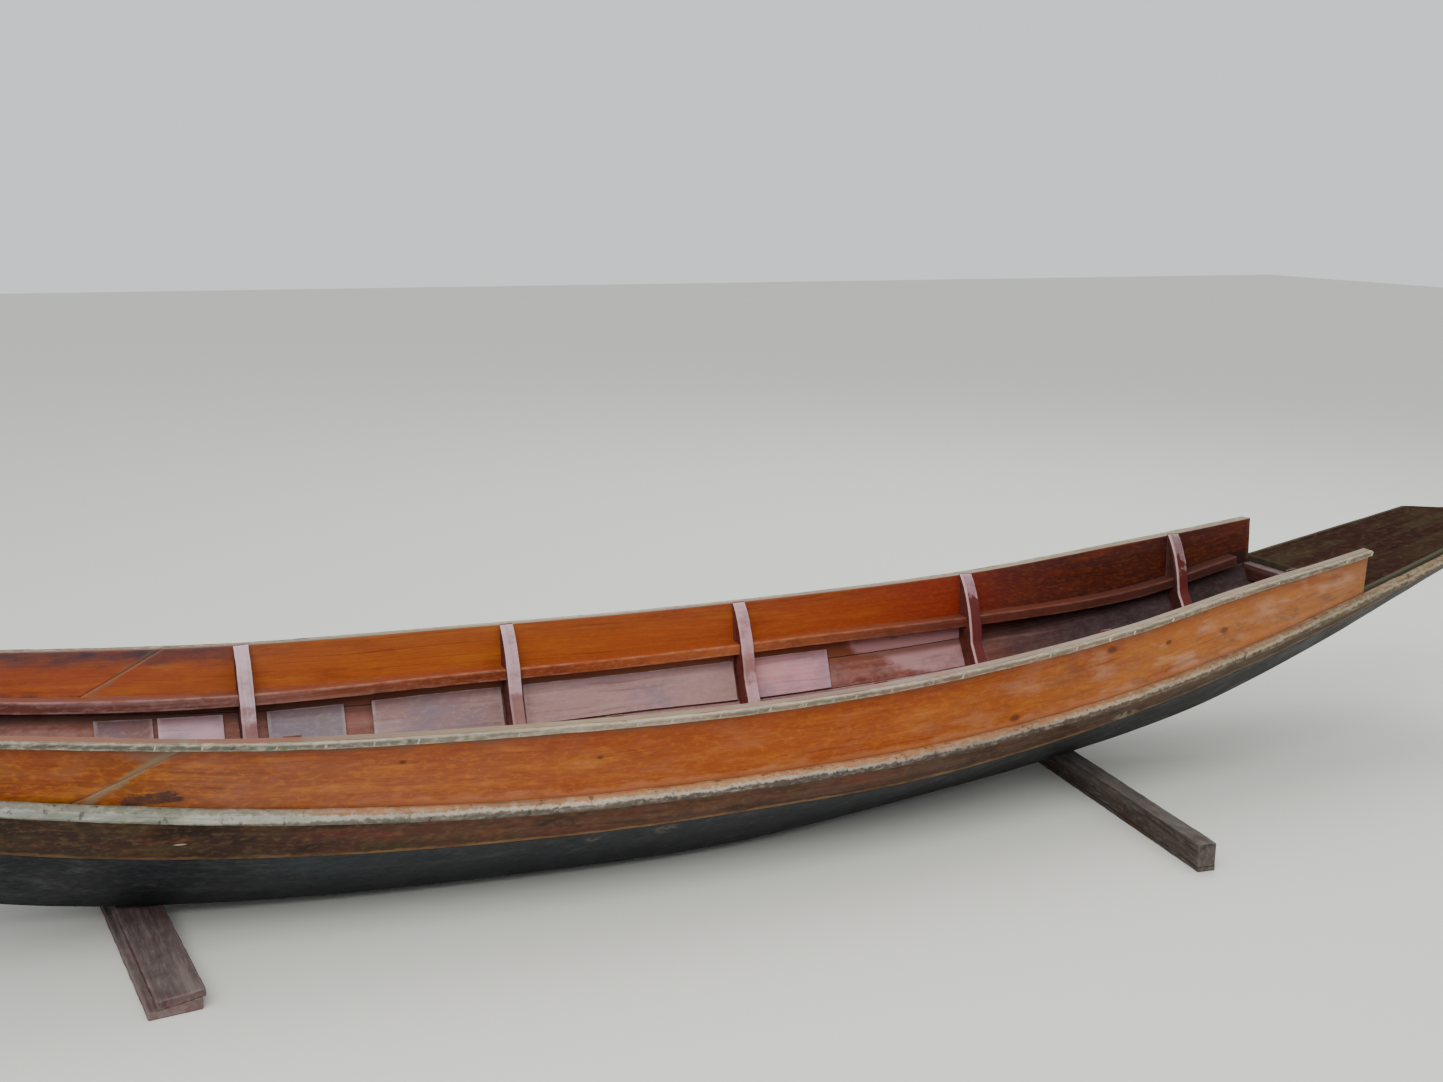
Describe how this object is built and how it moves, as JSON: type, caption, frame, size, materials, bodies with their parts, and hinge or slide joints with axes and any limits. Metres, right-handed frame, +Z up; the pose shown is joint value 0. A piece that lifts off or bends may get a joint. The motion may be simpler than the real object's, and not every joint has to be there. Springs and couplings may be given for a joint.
{
  "type": "wooden rowing sampan on bearers",
  "caption": "Slim plank-built wooden rowing boat with varnished washstrakes, tarred bottom and decked ends, on two timber bearers.",
  "frame": {"origin": "middle of the boat's length and breadth, on the floor that the bearers stand on", "axes": "+X to the bow, +Y to port, +Z up"},
  "size_m": [4.82, 1.3954, 0.5924],
  "materials": {
    "varnished_wood": "old varnish, scuffed and sun-faded",
    "weathered_wood": "bare weathered grey",
    "dark_planking": "dark stained, satin",
    "tarred_wood": "tarred, matt and blotchy",
    "inner_timber": "bare reddish wood, dusty",
    "deck_wood": "worn brown paint on wood",
    "bearer_timber": "rough sawn, dirty"
  },
  "bodies": {
    "root": {"bottom_plank": "tarred_wood", "bilge_plank_port": "tarred_wood", "side_plank_port": "dark_planking", "washstrake_fore_port": "varnished_wood", "washstrake_aft_port": "varnished_wood", "gunwale_strip_port": "weathered_wood", "rub_rail_port": "weathered_wood", "stringer_port": "inner_timber", "bilge_plank_starboard": "tarred_wood", "side_plank_starboard": "dark_planking", "washstrake_fore_starboard": "varnished_wood", "washstrake_aft_starboard": "varnished_wood", "gunwale_strip_starboard": "weathered_wood", "rub_rail_starboard": "weathered_wood", "stringer_starboard": "inner_timber", "floor_timber_1": "inner_timber", "frame_arm_1_port": "inner_timber", "frame_arm_1_starboard": "inner_timber", "floor_timber_2": "inner_timber", "frame_arm_2_port": "inner_timber", "frame_arm_2_starboard": "inner_timber", "floor_timber_3": "inner_timber", "frame_arm_3_port": "inner_timber", "frame_arm_3_starboard": "inner_timber", "floor_timber_4": "inner_timber", "frame_arm_4_port": "inner_timber", "frame_arm_4_starboard": "inner_timber", "floor_timber_5": "inner_timber", "frame_arm_5_port": "inner_timber", "frame_arm_5_starboard": "inner_timber", "floor_timber_6": "inner_timber", "frame_arm_6_port": "inner_timber", "frame_arm_6_starboard": "inner_timber", "lining_board_1_port": "inner_timber", "lining_board_1_starboard": "inner_timber", "lining_board_2_port": "inner_timber", "lining_board_2_starboard": "inner_timber", "lining_board_3_port": "inner_timber", "lining_board_3_starboard": "inner_timber", "lining_board_4_port": "inner_timber", "lining_board_4_starboard": "inner_timber", "lining_board_5_port": "inner_timber", "lining_board_5_starboard": "inner_timber", "lining_board_6_port": "inner_timber", "lining_board_6_starboard": "inner_timber", "floorboard_1": "inner_timber", "floorboard_2": "inner_timber", "floorboard_3": "inner_timber", "floorboard_4": "inner_timber", "floorboard_5": "inner_timber", "bow_deck": "deck_wood", "bow_deck_beam": "inner_timber", "bow_block": "deck_wood", "stern_deck": "deck_wood", "stern_deck_beam": "inner_timber", "stern_block": "deck_wood", "bearer_aft": "bearer_timber", "bearer_fore": "bearer_timber"}
  },
  "joints": []
}
